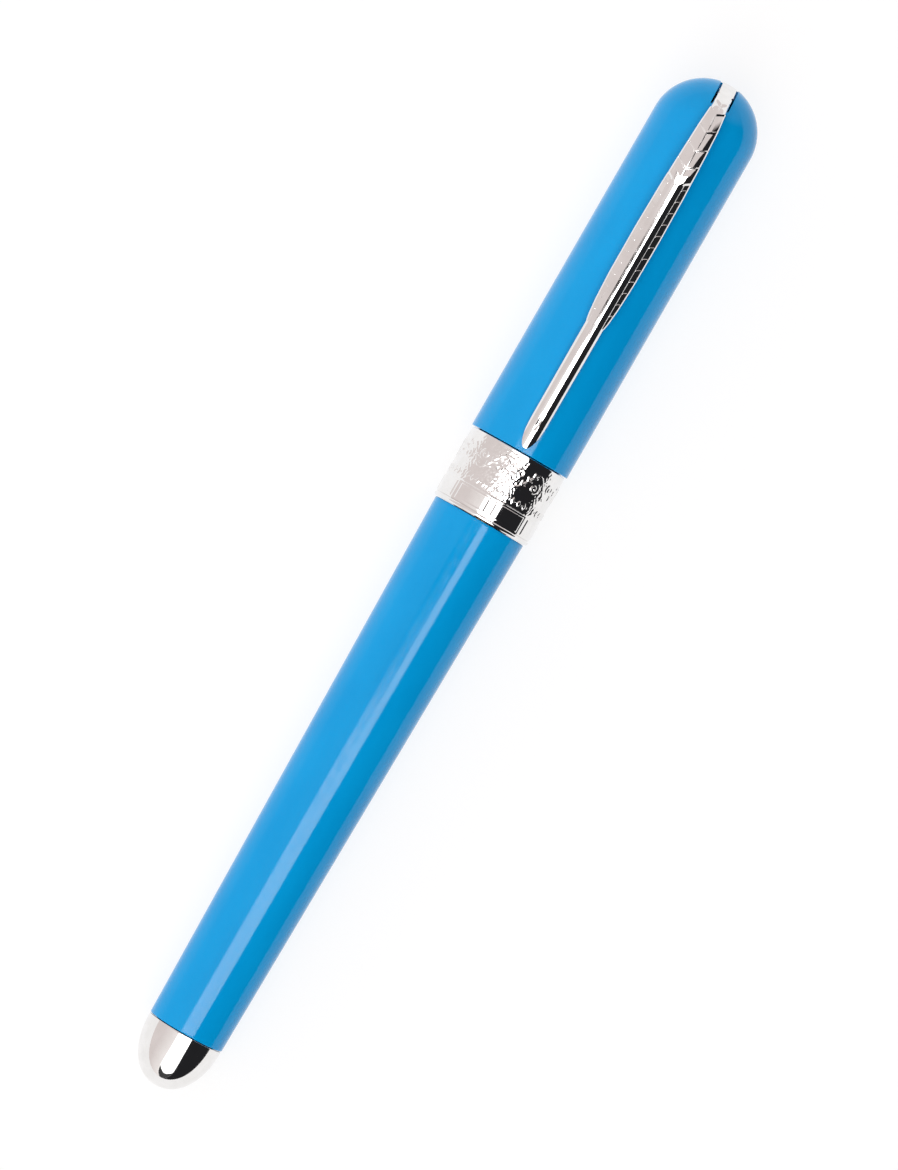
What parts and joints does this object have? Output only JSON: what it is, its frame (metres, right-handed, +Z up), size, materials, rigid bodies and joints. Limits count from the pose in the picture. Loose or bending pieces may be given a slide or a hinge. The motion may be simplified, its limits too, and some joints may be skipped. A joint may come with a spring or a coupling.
{
  "type": "rollerball pen",
  "caption": "Capped rollerball pen: tapered glossy blue barrel, round-domed cap, polished centre band, bullet finial and feather-shaped clip, with a screw-in section and refill.",
  "frame": {"origin": "middle of the closed pen's length, on its axis in plan, at the lowest line of the cap", "axes": "+X along the pen towards the cap's dome, +Z up through the clip, +Y across"},
  "size_m": [0.142, 0.0136, 0.0163],
  "materials": {
    "blue_resin": "polished, high gloss",
    "silver_trim": "mirror polished",
    "brass": "machined",
    "steel": "turned",
    "spring_steel": "drawn wire",
    "carbide": "lapped",
    "magnet_nickel": "nickel plated",
    "rubber": "matt",
    "white_nylon": "satin",
    "black_plastic": "moulded satin",
    "refill_plastic": "extruded",
    "ink_fibre": "ink-soaked fibre"
  },
  "bodies": {
    "barrel": {"barrel_tube": "blue_resin", "barrel_finial": "silver_trim", "barrel_insert": "brass", "refill_spring": "spring_steel"},
    "refill": {"refill_tube": "refill_plastic", "refill_end_plug": "black_plastic", "ink_reservoir": "ink_fibre", "ink_wick": "ink_fibre", "refill_holder": "black_plastic", "refill_tip": "steel"},
    "writing_ball": {"writing_ball": "carbide"},
    "section": {"section_connector": "brass", "section_o_ring": "rubber", "section_collar": "silver_trim", "grip_section": "blue_resin", "nose_cone": "silver_trim", "section_magnet_1": "magnet_nickel", "section_magnet_2": "magnet_nickel", "section_magnet_3": "magnet_nickel", "section_magnet_4": "magnet_nickel", "section_magnet_5": "magnet_nickel", "section_magnet_6": "magnet_nickel"},
    "cap_seat_washer": {"cap_seat_washer": "white_nylon"},
    "cap": {"cap_shell": "blue_resin", "inner_cap": "black_plastic", "centre_band": "silver_trim", "cap_magnet_ring": "silver_trim", "clip_anchor": "black_plastic", "clip_screw": "steel", "cap_magnet_1": "magnet_nickel", "cap_magnet_2": "magnet_nickel", "cap_magnet_3": "magnet_nickel", "cap_magnet_4": "magnet_nickel", "cap_magnet_5": "magnet_nickel", "cap_magnet_6": "magnet_nickel"},
    "clip": {"clip": "silver_trim"}
  },
  "joints": [
    {"name": "thread_advance", "type": "slide", "parent": "barrel", "child": "refill", "axis": [1, 0, 0], "range_m": [0, 0.0054]},
    {"name": "section_unscrew", "type": "hinge", "parent": "refill", "child": "section", "pos_m": [0.009, 0, 0.00675], "axis": [1, 0, 0], "range_deg": [0, 1620.5]},
    {"name": "cap_twist", "type": "hinge", "parent": "section", "child": "cap_seat_washer", "pos_m": [0.013, 0, 0.00675], "axis": [1, 0, 0], "continuous": true},
    {"name": "cap_pull", "type": "slide", "parent": "cap_seat_washer", "child": "cap", "axis": [1, 0, 0], "range_m": [0, 0.055]},
    {"name": "clip_flex", "type": "hinge", "parent": "cap", "child": "clip", "pos_m": [0.0682, 0, 0.00795], "axis": [0, 1, 0], "range_deg": [0, 5], "stiffness_Nm_per_rad": 2},
    {"name": "ball_roll", "type": "hinge", "parent": "refill", "child": "writing_ball", "pos_m": [0.0515, 0, 0.00675], "axis": [0, 1, 0], "continuous": true}
  ],
  "couplings": [
    {"joint": "section_unscrew", "follows": "thread_advance", "rad_per_m": 5236}
  ]
}
